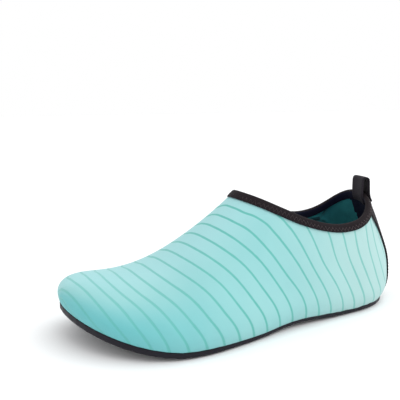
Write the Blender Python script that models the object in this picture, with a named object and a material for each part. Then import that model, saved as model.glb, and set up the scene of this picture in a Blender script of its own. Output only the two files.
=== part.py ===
"""A left water shoe, standing empty on its sole.

A stretch fabric upper with a bound collar, a heel tape and a pull loop, on a moulded rubber
outsole with a sunk tread field, and a foam insole inside.
While it is shaped, x runs from the back of the heel to the toe, y to the outer side, z up.
"""

import math

import bmesh
import bpy
import numpy as np

# Driving sizes, in metres
SHOE_LENGTH = 0.250
BALL_WIDTH = 0.098
THROAT_HEIGHT = 0.0905
HEEL_HEIGHT = 0.084
SIDE_HEIGHT = 0.066
TOE_SPRING = 0.018
ARCH_RISE = 0.0022
HEEL_LIFT = 0.0025
HEEL_LEAN = 0.023
FABRIC = 0.0018
GAP = 0.0003

# Sole sizes
SOLE_THICKNESS = 0.0052
SOLE_ROUND = 0.0014
RIM_WIDTH = 0.0050
RIM_LIFT = 0.0006
CELL_DEPTH = 0.0021
TOE_PANEL_DEPTH = 0.0013
ARCH_PANEL_DEPTH = 0.0011
GROOVE_DEPTH = 0.0011
LAP = 0.0005
INSOLE_THICKNESS = 0.0030
INSOLE_PLAY = 0.0008

# Upper sizes
SEAT_INSET = 0.0022
BULGE = 0.0028
BULGE_HEIGHT = 0.0120
BINDING_WIDTH = 0.0064
BINDING_THICKNESS = 0.0009
SEAM_SHIFT = 0.0055
TAPE_WIDTH = 0.0240
TAPE_THICKNESS = 0.0008
TAPE_EDGE_LOW = 0.15
TAPE_EDGE_HIGH = 0.80
FLARE_START = 0.50
LOOP_WIDTH = 0.0165
LOOP_THICKNESS = 0.0011
LOOP_RISE = 0.0130
LOOP_BEND = 0.0024
LOOP_SEAT = 0.0054

# Outline of the sole seen from above. "at" is a share of the length, the others are shares of
# the ball width: outer and inner edge from the heel's axis, and the line the ends close on.
OUTLINE = {
    "at":    (0.00, 0.13, 0.20, 0.28, 0.355, 0.43, 0.51, 0.585, 0.66, 0.73, 0.80, 0.89, 1.00),
    "outer": (0.342, 0.335, 0.347, 0.374, 0.394, 0.422, 0.476, 0.524, 0.564, 0.576, 0.576, 0.576, 0.576),
    "inner": (0.362, 0.362, 0.343, 0.306, 0.258, 0.229, 0.224, 0.252, 0.297, 0.345, 0.399, 0.428, 0.428),
    "spine": (-0.04, -0.04, -0.04, 0.00, 0.05, 0.10, 0.12, 0.10, 0.00, -0.141, -0.141, -0.141, -0.141),
}
# Where each side of the outline starts to close, as shares of the length, and how roundly.
CLOSING = {
    "side":       ("outer", "inner"),
    "toe_start":  (0.73, 0.89),
    "toe_power":  (1.88, 2.05),
    "heel_start": (0.18, 0.18),
    "heel_power": (2.0, 2.7),
}
# Sections of the upper. "crown" is a share of the throat height above the sole's underside,
# "ridge" a share of the ball width, "bulge" and "belly" shares of BULGE and of BULGE_HEIGHT,
# "rise" and "full" the roundness up and across, "sole" a share of SOLE_THICKNESS.
SECTIONS = {
    "at":    (0.00, 0.12, 0.25, 0.38, 0.47, 0.53, 0.61, 0.68, 0.76, 0.83, 0.91, 1.00),
    "crown": (1.36, 1.36, 1.33, 1.24, 1.09, 0.950, 0.776, 0.646, 0.512, 0.420, 0.347, 0.300),
    "ridge": (-0.04, -0.03, 0.00, 0.04, 0.05, 0.05, 0.04, 0.03, 0.00, -0.03, -0.08, -0.141),
    "bulge": (0.90, 1.00, 1.00, 1.00, 0.95, 0.85, 0.60, 0.40, 0.20, 0.05, -0.05, -0.10),
    "rise":  (1.15, 1.15, 1.15, 1.20, 1.35, 1.50, 1.75, 1.90, 1.95, 2.00, 2.00, 2.00),
    "full":  (2.0, 2.0, 2.0, 2.0, 2.0, 2.0, 2.0, 2.0, 2.0, 2.0, 2.0, 2.0),
    "belly": (1.00, 1.00, 1.00, 1.00, 1.00, 1.00, 0.95, 0.90, 0.82, 0.75, 0.66, 0.56),
    "sole":  (0.75, 0.72, 0.68, 0.66, 0.68, 0.72, 0.76, 0.80, 0.84, 0.90, 0.96, 1.00),
}
CROWN_START = 0.90
CROWN_POWER = 2.0
RIDGE_POWER = 1.5
SEAT_POWER = 2.2
LEAN_START = 0.28
LEAN_POWER = 1.4
# Topline from the side: "rise" goes from the low point of the side up to the heel behind it
# and to the throat ahead of it.
TOPLINE = {
    "at":   (0.00, 0.068, 0.092, 0.123, 0.157, 0.20, 0.268, 0.345, 0.422, 0.500, 0.60),
    "rise": (1.50, 1.00, 0.64, 0.29, 0.09, 0.00, 0.05, 0.28, 0.63, 1.00, 1.30),
}
TOPLINE_LOW = 0.20
# Underside: where the heel, the arch and the toe leave the ground, as shares of the length.
HEEL_LIFT_END = 0.08
ARCH_BACK = 0.21
ARCH_FRONT = 0.55
SPRING_START = 0.69

# Round pods of the tread, from the ball's big one back to the heel. "at" is a share of the
# length, "across" and "radius" are shares of the ball width, and "rise" a share of CELL_DEPTH
# by which a pod's face lies over the others.
PODS = {
    "at":     (0.733, 0.650, 0.607, 0.507, 0.416, 0.328, 0.255, 0.250, 0.136),
    "across": (-0.060, 0.339, 0.020, 0.089, 0.085, 0.035, -0.060, 0.192, 0.000),
    "radius": (0.143, 0.102, 0.102, 0.060, 0.060, 0.055, 0.064, 0.072, 0.143),
    "rise":   (0.0, 0.0, 0.0, 0.0, 0.0, 0.50, 0.50, 0.0, 0.0),
    "ringed": (True, True, True, False, False, False, False, False, True),
}
RING_SHARE = 0.20
GROOVE_SHARE = 0.09
# Back edge of the toe's grid panel and top edge of the smooth arch panel, same shares.
TOE_LINE = {
    "at":     (0.700, 0.724, 0.778, 0.827, 0.856, 0.881, 0.890),
    "across": (0.640, 0.504, 0.290, 0.101, -0.120, -0.353, -0.480),
}
ARCH_LINE = {
    "at":     (0.255, 0.320, 0.393, 0.440, 0.486, 0.550, 0.624, 0.655),
    "across": (-0.330, -0.190, -0.081, -0.045, -0.031, -0.110, -0.212, -0.310),
}

# Where the collar's ends are looked for, as shares of the length
THROAT_BETWEEN = (0.40, 0.60)
HEEL_BETWEEN = (0.00, 0.15)
# Points inside the last that the wall is cast from: their middle and spread as shares of the
# length, and their height as a share of the crown
CAST_MIDDLE = 0.48
CAST_SPREAD = 0.34
CAST_HEIGHT = 0.30
CAST_REACH = (0.02, 5.0)

# Steps of the mesh
SIDE_COLUMNS = 34
RIB_ROWS = 14
FIRST_RIB = 0.0050
LOW_RIB = 0.0020
FINE_ROWS = 90
OUTLINE_STEPS = 400
POD_STEPS = 20
PANEL_STEPS = 9
BEND_STEPS = 7
HALVINGS = 60
ROUND_SHARE = 0.3
SMOOTH_ANGLE = math.radians(35)
# Lines across the sole at which it is creased, as shares of the length
CREASES = {
    "from":  (0.012, ARCH_BACK, SPRING_START),
    "to":    (HEEL_LIFT_END, ARCH_FRONT, 0.985),
    "count": (5, 12, 12),
}


def smooth(table, column, at):
    """A column of a table as a smooth curve through its rows."""
    xs = np.array(table["at"])
    ys = np.array(table[column], float)
    run = np.diff(xs)
    steps = np.diff(ys) / run
    slopes = np.empty_like(ys)
    slopes[1:-1] = (steps[:-1] * run[1:] + steps[1:] * run[:-1]) / (xs[2:] - xs[:-2])
    slopes[0] = steps[0]
    slopes[-1] = steps[-1]
    at = np.clip(at, xs[0], xs[-1])
    i = np.clip(np.searchsorted(xs, at) - 1, 0, len(xs) - 2)
    h = xs[i + 1] - xs[i]
    t = (at - xs[i]) / h
    start = ys[i] * (1 + 2 * t) * (1 - t) ** 2 + h * slopes[i] * t * (1 - t) ** 2
    end = ys[i + 1] * t * t * (3 - 2 * t) - h * slopes[i + 1] * t * t * (1 - t)
    return start + end


def underside(x):
    """Height of the sole's underside over the ground."""
    at = np.asarray(x) / SHOE_LENGTH
    toe = np.clip((at - SPRING_START) / (1 - SPRING_START), 0, None)
    heel = np.clip(1 - at / HEEL_LIFT_END, 0, None)
    arch = np.clip((at - ARCH_BACK) / (ARCH_FRONT - ARCH_BACK), 0, 1)
    return TOE_SPRING * toe**2 + HEEL_LIFT * heel**2 + ARCH_RISE * np.sin(np.pi * arch) ** 2


def sole_top(x):
    """Thickness of the sole at its edge."""
    return smooth(SECTIONS, "sole", np.asarray(x) / SHOE_LENGTH) * SOLE_THICKNESS


def edge(x, side, grow, lean=0.0):
    """Where the outline lies at x on one side (0 outer, 1 inner), grown by a margin."""
    name = CLOSING["side"][side]
    sign = 1 - 2 * side
    toe_start = CLOSING["toe_start"][side] * SHOE_LENGTH
    heel_start = CLOSING["heel_start"][side] * SHOE_LENGTH
    toe_power = CLOSING["toe_power"][side]
    heel_power = CLOSING["heel_power"][side]
    at = x / SHOE_LENGTH
    reach = smooth(OUTLINE, name, at) * BALL_WIDTH + grow
    spine = smooth(OUTLINE, "spine", at) * BALL_WIDTH
    toe = np.clip((x - toe_start) / (SHOE_LENGTH + grow - toe_start), 0, 1)
    heel = np.clip((heel_start - x) / (heel_start + grow - lean), 0, 1)
    close = (1 - toe**toe_power) ** (1 / toe_power) * (1 - heel**heel_power) ** (1 / heel_power)
    return spine + (sign * reach - spine) * close


def lean_at(height):
    """How far the back of the heel has come forward at a height over the sole."""
    start = LEAN_START * HEEL_HEIGHT
    return HEEL_LEAN * np.clip((height - start) / (HEEL_HEIGHT - start), 0, None) ** LEAN_POWER


def belly_at(x):
    """Height over the sole at which the upper is widest."""
    return smooth(SECTIONS, "belly", x / SHOE_LENGTH) * BULGE_HEIGHT


def bulge_at(x, height):
    """How far the upper stands out past the sole's edge at a height over the sole."""
    bulge = smooth(SECTIONS, "bulge", x / SHOE_LENGTH) * BULGE
    below = np.clip(1 - height / belly_at(x), 0, 1) ** SEAT_POWER
    return bulge - (bulge + SEAT_INSET) * below


def crown_at(x):
    """Height of the upper's ridge over the sole, closing down at the toe."""
    at = x / SHOE_LENGTH
    crown = smooth(SECTIONS, "crown", at) * THROAT_HEIGHT - sole_top(x)
    tip = 1 + bulge_at(SHOE_LENGTH, BULGE_HEIGHT) / SHOE_LENGTH
    toe = np.clip((at - CROWN_START) / (tip - CROWN_START), 0, 1)
    close = (1 - toe**CROWN_POWER) ** (1 / CROWN_POWER)
    belly = belly_at(x)
    return belly + (crown - belly) * close


def last_sides(x, height):
    """Outer face of the upper, outer and inner side, at x and a height over the sole."""
    at = x / SHOE_LENGTH
    grow = bulge_at(x, height)
    lean = lean_at(height)
    outer = edge(x, 0, grow, lean)
    inner = edge(x, 1, grow, lean)
    belly = belly_at(x)
    up = np.clip((height - belly) / np.maximum(crown_at(x) - belly, 1e-6), 0, 1)
    rise = smooth(SECTIONS, "rise", at)
    full = smooth(SECTIONS, "full", at)
    shrink = (1 - up**rise) ** (1 / full)
    middle = (outer + inner) / 2
    ridge = smooth(SECTIONS, "ridge", at) * BALL_WIDTH
    middle_up = middle + (ridge - middle) * up**RIDGE_POWER
    half = (outer - inner) / 2 * shrink
    return middle_up + half, middle_up - half


def inside_last(points):
    """Depth of points inside the upper's outer face, measured across."""
    outer, inner = last_sides(points[..., 0], points[..., 2])
    return np.minimum(outer - points[..., 1], points[..., 1] - inner)


def topline(x):
    """Height of the collar's edge over the sole."""
    at = x / SHOE_LENGTH
    top = np.where(at < TOPLINE_LOW, HEEL_HEIGHT, THROAT_HEIGHT)
    height = SIDE_HEIGHT + (top - SIDE_HEIGHT) * smooth(TOPLINE, "rise", at)
    return height - sole_top(x) - underside(x)


def solve(function, low, high):
    """Root of a function that is negative at low and positive at high."""
    for _ in range(HALVINGS):
        middle = (low + high) / 2
        if function(middle) > 0:
            high = middle
        else:
            low = middle
    return (low + high) / 2


def along(line, distances):
    """Points at given distances along a polyline."""
    steps = np.linalg.norm(np.diff(line, axis=0), axis=1)
    length = np.concatenate([[0], np.cumsum(steps)])
    return np.stack([np.interp(distances, length, line[:, k]) for k in range(3)], axis=-1)


def half_loop(line, seam=0.0):
    """Columns on half a loop from toe to heel, with fixed ones for the tape and the pull loop.

    seam is how far before the end the middle of the tape lies; on the other half it is negative.
    """
    length = np.linalg.norm(np.diff(line, axis=0), axis=1).sum()
    middle = length - seam
    even = np.linspace(0, middle - TAPE_WIDTH / 2, SIDE_COLUMNS)
    fixed = [at for at in (middle - LOOP_WIDTH / 2, middle) if at < length]
    return along(line, np.concatenate([even, fixed, [length]]))


def full_loop(outer, inner):
    """Both halves as one ring of columns: outer side toe to heel, then back along the inner."""
    return np.concatenate([outer, inner[-2:0:-1]])


def outline_half(side, grow, height):
    """Dense line along one side of the sole's outline from toe to heel."""
    turn = np.linspace(0, math.pi, OUTLINE_STEPS)
    front = SHOE_LENGTH + grow
    x = (front - grow) / 2 + (front + grow) / 2 * np.cos(turn)
    return np.stack([x, edge(x, side, grow), np.full_like(x, height)], axis=-1)


def collar_half(side):
    """Dense line along one side of the collar from throat to heel."""
    low, high = (at * SHOE_LENGTH for at in THROAT_BETWEEN)
    throat = solve(lambda x: topline(x) - crown_at(x), low, high)
    low, high = (at * SHOE_LENGTH for at in HEEL_BETWEEN)
    back = solve(lambda x: x - lean_at(topline(x)) + bulge_at(x, topline(x)), low, high)
    turn = np.linspace(0, math.pi, OUTLINE_STEPS)
    x = (throat + back) / 2 + (throat - back) / 2 * np.cos(turn)
    height = topline(x)
    sides = last_sides(x, height)
    return np.stack([x, sides[side], height], axis=-1)


def upper_grid():
    """Inner face of the upper, on the last: rows from the seat on the sole to the collar's edge."""
    seams = (SEAM_SHIFT, -SEAM_SHIFT)
    seat = full_loop(*(half_loop(outline_half(side, -SEAT_INSET, GAP), seams[side]) for side in (0, 1)))
    collar = full_loop(*(half_loop(collar_half(side), seams[side]) for side in (0, 1)))
    guide = seat + (collar - seat) * np.linspace(0, 1, FINE_ROWS)[:, None, None]
    middle = CAST_MIDDLE * SHOE_LENGTH
    spread = CAST_SPREAD * SHOE_LENGTH
    x = middle + spread * np.tanh((guide[..., 0] - middle) / spread)
    y = (edge(x, 0, 0.0) + edge(x, 1, 0.0)) / 2
    start = np.stack([x, y, CAST_HEIGHT * crown_at(x)], axis=-1)
    near, far = (np.full(guide.shape[:2], reach) for reach in CAST_REACH)
    for _ in range(HALVINGS):
        reach = (near + far) / 2
        within = inside_last(start + (guide - start) * reach[..., None]) > 0
        near = np.where(within, reach, near)
        far = np.where(within, far, reach)
    face = start + (guide - start) * near[..., None]
    face[0] = seat
    face[-1] = collar
    columns = []
    lengths = np.linalg.norm(np.diff(face, axis=0), axis=-1).sum(axis=0)
    share = np.linspace(0, 1, RIB_ROWS)
    for column, length in zip(np.swapaxes(face, 0, 1), lengths):
        even = lengths.min() / length
        spacing = even * share + (1 - even) * share**2
        ribs = FIRST_RIB + (length - BINDING_WIDTH - FIRST_RIB) * spacing
        ends = [length - BINDING_WIDTH / 2, length]
        columns.append(along(column, np.concatenate([[0, LOW_RIB], ribs, ends])))
    return np.swapaxes(np.array(columns), 0, 1)


def normals_of(grid):
    """Outward normals of a grid that closes on itself along its columns."""
    across = np.roll(grid, -1, axis=1) - np.roll(grid, 1, axis=1)
    up = np.gradient(grid, axis=0)
    normals = np.cross(across, up)
    normals[0, :, 2] = 0
    normals /= np.linalg.norm(normals, axis=-1, keepdims=True)
    return normals


def stand(points):
    """From heights over the sole's top to heights over the ground."""
    out = np.array(points, float)
    out[..., 2] += underside(out[..., 0]) + sole_top(out[..., 0])
    return out


def material(name, colour, roughness):
    slot = bpy.data.materials.new(name)
    slot.use_nodes = True
    shader = next(node for node in slot.node_tree.nodes if node.type == "BSDF_PRINCIPLED")
    shader.inputs["Base Color"].default_value = (*colour, 1)
    shader.inputs["Roughness"].default_value = roughness
    shader.inputs["Metallic"].default_value = 0.0
    return slot


def add_object(name, mesh, slot):
    """A named piece under the shoe's root, with even facets smoothed."""
    body = bpy.data.objects.new(name, mesh)
    bpy.context.scene.collection.objects.link(body)
    body.parent = root
    mesh.materials.append(slot)
    mesh.shade_smooth()
    mesh.set_sharp_from_angle(angle=SMOOTH_ANGLE)
    return body


def tube(name, rings, slot, capped):
    """A closed body through rings of points; capped at its two ends or closed end to end."""
    rings = np.asarray(rings)
    count, size = rings.shape[:2]
    faces = []
    for k in range(count - 1 if capped else count):
        for i in range(size):
            j = (i + 1) % size
            a = k * size
            b = (k + 1) % count * size
            faces.append((a + i, a + j, b + j, b + i))
    if capped:
        half = size // 2
        for a in (0, (count - 1) * size):
            for i in range(half - 1):
                quad = (a + i, a + i + 1, a + size - 2 - i, a + size - 1 - i)
                faces.append(quad if a else quad[::-1])
    mesh = bpy.data.meshes.new(name)
    mesh.from_pydata([tuple(p) for p in rings.reshape(-1, 3)], [], faces)
    bm = bmesh.new()
    bm.from_mesh(mesh)
    bmesh.ops.recalc_face_normals(bm, faces=bm.faces)
    bmesh.ops.triangulate(bm, faces=bm.faces, quad_method="SHORT_EDGE")
    if bm.calc_volume(signed=True) < 0:
        bmesh.ops.reverse_faces(bm, faces=bm.faces)
    bm.to_mesh(mesh)
    bm.free()
    return add_object(name, mesh, slot)


def prism(loops):
    """A closed mesh through level loops of one size, flat at both ends."""
    bm = bmesh.new()
    rings = [[bm.verts.new(tuple(p)) for p in loop] for loop in loops]
    size = len(rings[0])
    for low, high in zip(rings, rings[1:]):
        for i in range(size):
            j = (i + 1) % size
            bm.faces.new((low[i], low[j], high[j], high[i]))
    bm.faces.new(rings[0][::-1])
    bm.faces.new(rings[-1])
    bmesh.ops.recalc_face_normals(bm, faces=bm.faces)
    return bm


def join(parts):
    """Several meshes as one."""
    whole = bmesh.new()
    for part in parts:
        mesh = bpy.data.meshes.new("piece")
        part.to_mesh(mesh)
        part.free()
        whole.from_mesh(mesh)
        bpy.data.meshes.remove(mesh)
    return whole


def combine(body, tool, operation):
    """Adds or takes away a tool mesh from a body mesh."""
    objects = []
    for bm in (body, tool):
        mesh = bpy.data.meshes.new("piece")
        bm.to_mesh(mesh)
        bm.free()
        objects.append(bpy.data.objects.new("piece", mesh))
        bpy.context.scene.collection.objects.link(objects[-1])
    modifier = objects[0].modifiers.new("cut", "BOOLEAN")
    modifier.operation = operation
    modifier.solver = "EXACT"
    modifier.object = objects[1]
    graph = bpy.context.evaluated_depsgraph_get()
    graph.update()
    result = bmesh.new()
    result.from_mesh(objects[0].evaluated_get(graph).data)
    for item in objects:
        mesh = item.data
        bpy.data.objects.remove(item)
        bpy.data.meshes.remove(mesh)
    return result


def sole_loop(grow, height):
    """The sole's outline as one ring of columns at a level."""
    return full_loop(*(half_loop(outline_half(side, grow, height)) for side in (0, 1)))


def circle(pod, share, height):
    """A pod's circle, its radius taken as a share of the pod's."""
    x = PODS["at"][pod] * SHOE_LENGTH
    y = PODS["across"][pod] * BALL_WIDTH
    radius = PODS["radius"][pod] * BALL_WIDTH * share
    turn = np.linspace(0, 2 * math.pi, POD_STEPS, endpoint=False)
    level = np.full_like(turn, height)
    return np.stack([x + radius * np.cos(turn), y + radius * np.sin(turn), level], axis=-1)


def panel(line, ahead, low, high):
    """A flat panel between a line across the sole and the rim."""
    loop = sole_loop(LAP - RIM_WIDTH, 0.0)
    share = np.linspace(line["at"][0], line["at"][-1], PANEL_STEPS)
    x = share * SHOE_LENGTH
    y = smooth(line, "across", share) * BALL_WIDTH
    if ahead:
        keep = loop[:, 0] > np.interp(-loop[:, 1], -y, x)
    else:
        keep = (loop[:, 1] < np.interp(loop[:, 0], x, y)) & (loop[:, 0] > x[0]) & (loop[:, 0] < x[-1])
    start = np.flatnonzero(keep & ~np.roll(keep, 1))[0]
    kept = np.roll(loop, -start, axis=0)[: keep.sum()]
    curve = np.stack([x, y, np.zeros_like(x)], axis=-1)
    within = (y < edge(x, 0, -RIM_WIDTH)) & (y > edge(x, 1, -RIM_WIDTH))
    curve = curve[within]
    if np.linalg.norm(kept[-1] - curve[0]) > np.linalg.norm(kept[-1] - curve[-1]):
        curve = curve[::-1]
    flat = np.concatenate([kept, curve])
    return prism([flat + (0, 0, level) for level in (low, high)])


def stations():
    """Lines across the sole at which it is creased so that it can follow its underside."""
    groups = zip(CREASES["from"], CREASES["to"], CREASES["count"])
    return np.concatenate([np.linspace(*group) for group in groups]) * SHOE_LENGTH


def finish_plate(name, bm, slot):
    """Creases a flat plate across and lets it follow the sole's underside."""
    for x in stations():
        geometry = bm.verts[:] + bm.edges[:] + bm.faces[:]
        bmesh.ops.bisect_plane(bm, geom=geometry, dist=1e-6, plane_co=(x, 0, 0), plane_no=(1, 0, 0))
    for vert in bm.verts:
        x, y, z = vert.co
        over = z - SOLE_THICKNESS
        top = float(sole_top(x)) + over
        vert.co.z = float(underside(x)) + (top if over > -1e-6 else z)
    bmesh.ops.remove_doubles(bm, verts=bm.verts, dist=0.00002)
    bmesh.ops.triangulate(bm, faces=bm.faces)
    bmesh.ops.recalc_face_normals(bm, faces=bm.faces)
    if bm.calc_volume(signed=True) < 0:
        bmesh.ops.reverse_faces(bm, faces=bm.faces)
    mesh = bpy.data.meshes.new(name)
    bm.to_mesh(mesh)
    bm.free()
    return add_object(name, mesh, slot)


# Start from an empty scene
for item in list(bpy.data.objects):
    bpy.data.objects.remove(item)
root = bpy.data.objects.new("water_shoe", None)
bpy.context.scene.collection.objects.link(root)

aqua_fabric = material("aqua_fabric", (0.32, 0.74, 0.72), 0.85)
black_rubber = material("black_rubber", (0.028, 0.026, 0.036), 0.55)
teal_foam = material("teal_foam", (0.015, 0.09, 0.11), 0.95)
black_binding = material("black_binding", (0.022, 0.018, 0.022), 0.80)
black_tape = material("black_tape", (0.026, 0.022, 0.028), 0.75)
charcoal_webbing = material("charcoal_webbing", (0.027, 0.023, 0.031), 0.80)

# Upper: one hollow wall from its seat on the sole to the collar
face = upper_grid()
normal = normals_of(face)
upper_rings = np.concatenate([face, (face + FABRIC * normal)[::-1]])
tube("upper", stand(upper_rings), aqua_fabric, capped=False)

# Outsole: rim, sunk tread field, pods, toe panel and arch panel
levels = (
    (-SOLE_ROUND, RIM_LIFT),
    (-ROUND_SHARE * SOLE_ROUND, RIM_LIFT + ROUND_SHARE * SOLE_ROUND),
    (0.0, RIM_LIFT + SOLE_ROUND),
    (0.0, SOLE_THICKNESS),
)
plate = prism([sole_loop(grow, level) for grow, level in levels])
field = prism([sole_loop(-RIM_WIDTH, level) for level in (-LAP, CELL_DEPTH)])
plate = combine(plate, field, "DIFFERENCE")
bed = CELL_DEPTH + LAP
toe_panel = panel(TOE_LINE, True, TOE_PANEL_DEPTH, bed)
plate = combine(plate, toe_panel, "UNION")
arch_panel = panel(ARCH_LINE, False, ARCH_PANEL_DEPTH, bed)
plate = combine(plate, arch_panel, "UNION")
pods = range(len(PODS["at"]))
faces = [PODS["rise"][pod] * CELL_DEPTH for pod in pods]
discs = join([prism([circle(pod, 1, level) for level in (faces[pod], bed)]) for pod in pods])
plate = combine(plate, discs, "UNION")
grooves = []
for pod in pods:
    if PODS["ringed"][pod]:
        outer = 1 - RING_SHARE
        inner = outer - GROOVE_SHARE
        wide = prism([circle(pod, outer, level) for level in (-LAP, GROOVE_DEPTH)])
        core = prism([circle(pod, inner, level) for level in (-2 * LAP, GROOVE_DEPTH + LAP)])
        grooves.append(combine(wide, core, "DIFFERENCE"))
plate = combine(plate, join(grooves), "DIFFERENCE")
finish_plate("outsole", plate, black_rubber)

# Insole: a loose foam plate within the wall
fit = -SEAT_INSET - INSOLE_PLAY
heights = (SOLE_THICKNESS + GAP, SOLE_THICKNESS + GAP + INSOLE_THICKNESS)
finish_plate("insole", prism([sole_loop(fit, height) for height in heights]), teal_foam)

# Collar binding: a channel folded over the collar's edge
up = face[-1] - face[-2]
up /= np.linalg.norm(up, axis=-1, keepdims=True)


def at_collar(out, rise):
    return face[-1] + out * normal[-1] + rise * up


def at_row(row, out):
    return face[row] + out * normal[row]


fold = GAP + BINDING_THICKNESS
outer = FABRIC + fold
binding_rings = [
    at_row(-3, outer),
    at_row(-2, outer),
    at_collar(outer, 0.5 * GAP),
    at_collar(FABRIC, fold),
    at_collar(0.0, fold),
    at_collar(-fold, 0.5 * GAP),
    at_row(-2, -fold),
    at_row(-3, -fold),
    at_row(-3, -GAP),
    at_row(-2, -GAP),
    at_collar(-GAP, GAP),
    at_collar(FABRIC + GAP, GAP),
    at_row(-2, FABRIC + GAP),
    at_row(-3, FABRIC + GAP),
]
tube("collar_binding", stand(binding_rings), black_binding, capped=False)

# Heel tape: down the back from under the binding to the sole
seam = SIDE_COLUMNS + 1
tape_columns = [seam - 2, seam - 1, seam, seam + 1, seam + 2, seam + 3]


def tape_strip(row, edge):
    """The tape's columns of a row, with its edges a share of the way on to the next columns."""
    first, last = tape_columns[0], tape_columns[-1]
    left = row[first] + edge * (row[first - 1] - row[first])
    right = row[last] + edge * (row[last + 1] - row[last])
    return np.concatenate([[left], row[tape_columns], [right]])


tape_rows = []
step = np.linalg.norm(face[-3] - face[-4], axis=-1, keepdims=True)
gap_share = GAP / step
under_binding = face[-3] + (face[-4] - face[-3]) * gap_share
edge_normal = normal[-3] + (normal[-4] - normal[-3]) * gap_share
for row in range(2, len(face) - 3):
    tape_rows.append((face[row], normal[row]))
tape_rows.append((under_binding, edge_normal))
tape_rings = []
rises = np.linspace(0, 1, len(tape_rows))
for rise, (centre, out) in zip(rises, tape_rows):
    edge = np.interp(rise, [FLARE_START, 1], [TAPE_EDGE_LOW, TAPE_EDGE_HIGH])
    outside = tape_strip(centre + (FABRIC + GAP + TAPE_THICKNESS) * out, edge)
    backside = tape_strip(centre + (FABRIC + GAP) * out, edge)
    tape_rings.append(np.concatenate([outside, backside[::-1]]))
tube("heel_tape", stand(tape_rings), black_tape, capped=True)

# Pull loop: a strap over the collar at the heel
loop_columns = [seam - 1, seam, seam + 1, seam + 2]
level_out = normal[-1] * (1, 1, 0)
level_out /= np.linalg.norm(level_out, axis=-1, keepdims=True)
skyward = np.array((0.0, 0.0, 1.0))
leg_out = outer + GAP + LOOP_THICKNESS / 2
leg_in = -fold - GAP - LOOP_THICKNESS / 2
low_share = (LOOP_SEAT - BINDING_WIDTH / 2) / (BINDING_WIDTH / 2)
low_face = face[-2] + (face[-3] - face[-2]) * low_share
low_normal = normal[-2] + (normal[-3] - normal[-2]) * low_share
path = [
    (low_face + leg_out * low_normal, low_normal),
    (face[-2] + leg_out * normal[-2], normal[-2]),
    (face[-1] + leg_out * normal[-1], normal[-1]),
]
centre_line = face[-1] + (leg_out + leg_in) / 2 * normal[-1]
centre_line[:, 2] = centre_line[seam, 2]
for turn in np.linspace(0, math.pi, BEND_STEPS):
    direction = math.cos(turn) * level_out + math.sin(turn) * skyward
    path.append((centre_line + (LOOP_RISE - LOOP_BEND) * skyward + LOOP_BEND * direction, direction))
path += [
    (face[-1] + leg_in * normal[-1], -normal[-1]),
    (face[-2] + leg_in * normal[-2], -normal[-2]),
    (low_face + leg_in * low_normal, -low_normal),
]
loop_rings = []
for centre, out in path:
    outside = centre + LOOP_THICKNESS / 2 * out
    backside = centre - LOOP_THICKNESS / 2 * out
    loop_rings.append(np.concatenate([outside[loop_columns], backside[loop_columns[::-1]]]))
tube("pull_loop", stand(loop_rings), charcoal_webbing, capped=True)

# Middle of the shoe's length and width over the origin
points = np.array([vert.co for body in root.children for vert in body.data.vertices])
low = points.min(axis=0)
high = points.max(axis=0)
root.location = (-(low[0] + high[0]) / 2, -(low[1] + high[1]) / 2, 0.0)
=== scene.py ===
# %% [markdown]
# # A water shoe, dressed for its picture
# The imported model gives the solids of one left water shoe: upper, outsole, insole, collar
# binding, heel tape and pull loop. This lesson turns them into the real thing: stretch cloth with
# printed lines, elastic binding with its stitching, webbing, and moulded rubber with a honeycomb
# tread. Everything is in metres, +X towards the toe, +Y to the outer side, +Z up.

# %% Load the frame
import math

import bmesh
import bpy
import numpy as np
from mathutils import Matrix, Vector
from mathutils.bvhtree import BVHTree


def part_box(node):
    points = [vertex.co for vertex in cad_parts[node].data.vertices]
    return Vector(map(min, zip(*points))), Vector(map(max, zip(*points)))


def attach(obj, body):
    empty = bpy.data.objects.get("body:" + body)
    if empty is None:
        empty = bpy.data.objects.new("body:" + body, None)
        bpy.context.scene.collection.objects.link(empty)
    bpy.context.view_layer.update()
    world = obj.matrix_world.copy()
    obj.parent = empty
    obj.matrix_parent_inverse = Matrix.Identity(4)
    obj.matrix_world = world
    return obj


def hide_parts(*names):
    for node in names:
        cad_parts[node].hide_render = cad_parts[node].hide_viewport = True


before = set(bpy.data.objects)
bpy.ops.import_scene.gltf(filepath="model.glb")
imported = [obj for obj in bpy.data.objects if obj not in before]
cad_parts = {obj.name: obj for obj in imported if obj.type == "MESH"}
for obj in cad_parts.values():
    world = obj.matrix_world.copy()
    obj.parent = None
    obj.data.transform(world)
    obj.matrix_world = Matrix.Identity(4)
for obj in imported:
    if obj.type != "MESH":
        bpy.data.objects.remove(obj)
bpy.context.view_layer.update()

# %% [markdown]
# ## Small helpers
# An operator acts on all that is selected, so each step starts with nothing selected. Colours are
# written as the hex values of a paint program and turned to linear light once. One function adds
# a node, sets its values and draws its links, so a material reads from top to bottom.

# %% Selecting, colours and nodes
MM = 0.001


def activate(piece):
    """Selects one object alone."""
    for item in bpy.context.selected_objects:
        item.select_set(False)
    bpy.context.view_layer.objects.active = piece
    piece.select_set(True)


def linear(code):
    """sRGB hex code to a linear colour with alpha."""
    parts = [int(code[i:i + 2], 16) / 255 for i in (0, 2, 4)]
    light = [p / 12.92 if p <= 0.04045 else ((p + 0.055) / 1.055) ** 2.4 for p in parts]
    return (*light, 1.0)


def add(tree, kind, values=None, **settings):
    """Adds one node; values are numbers, colours or sockets for its inputs."""
    node = tree.nodes.new(kind)
    for key, value in settings.items():
        setattr(node, key, value)
    for key, value in (values or {}).items():
        if isinstance(value, bpy.types.NodeSocket):
            tree.links.new(value, node.inputs[key])
        else:
            node.inputs[key].default_value = value
    return node


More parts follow.
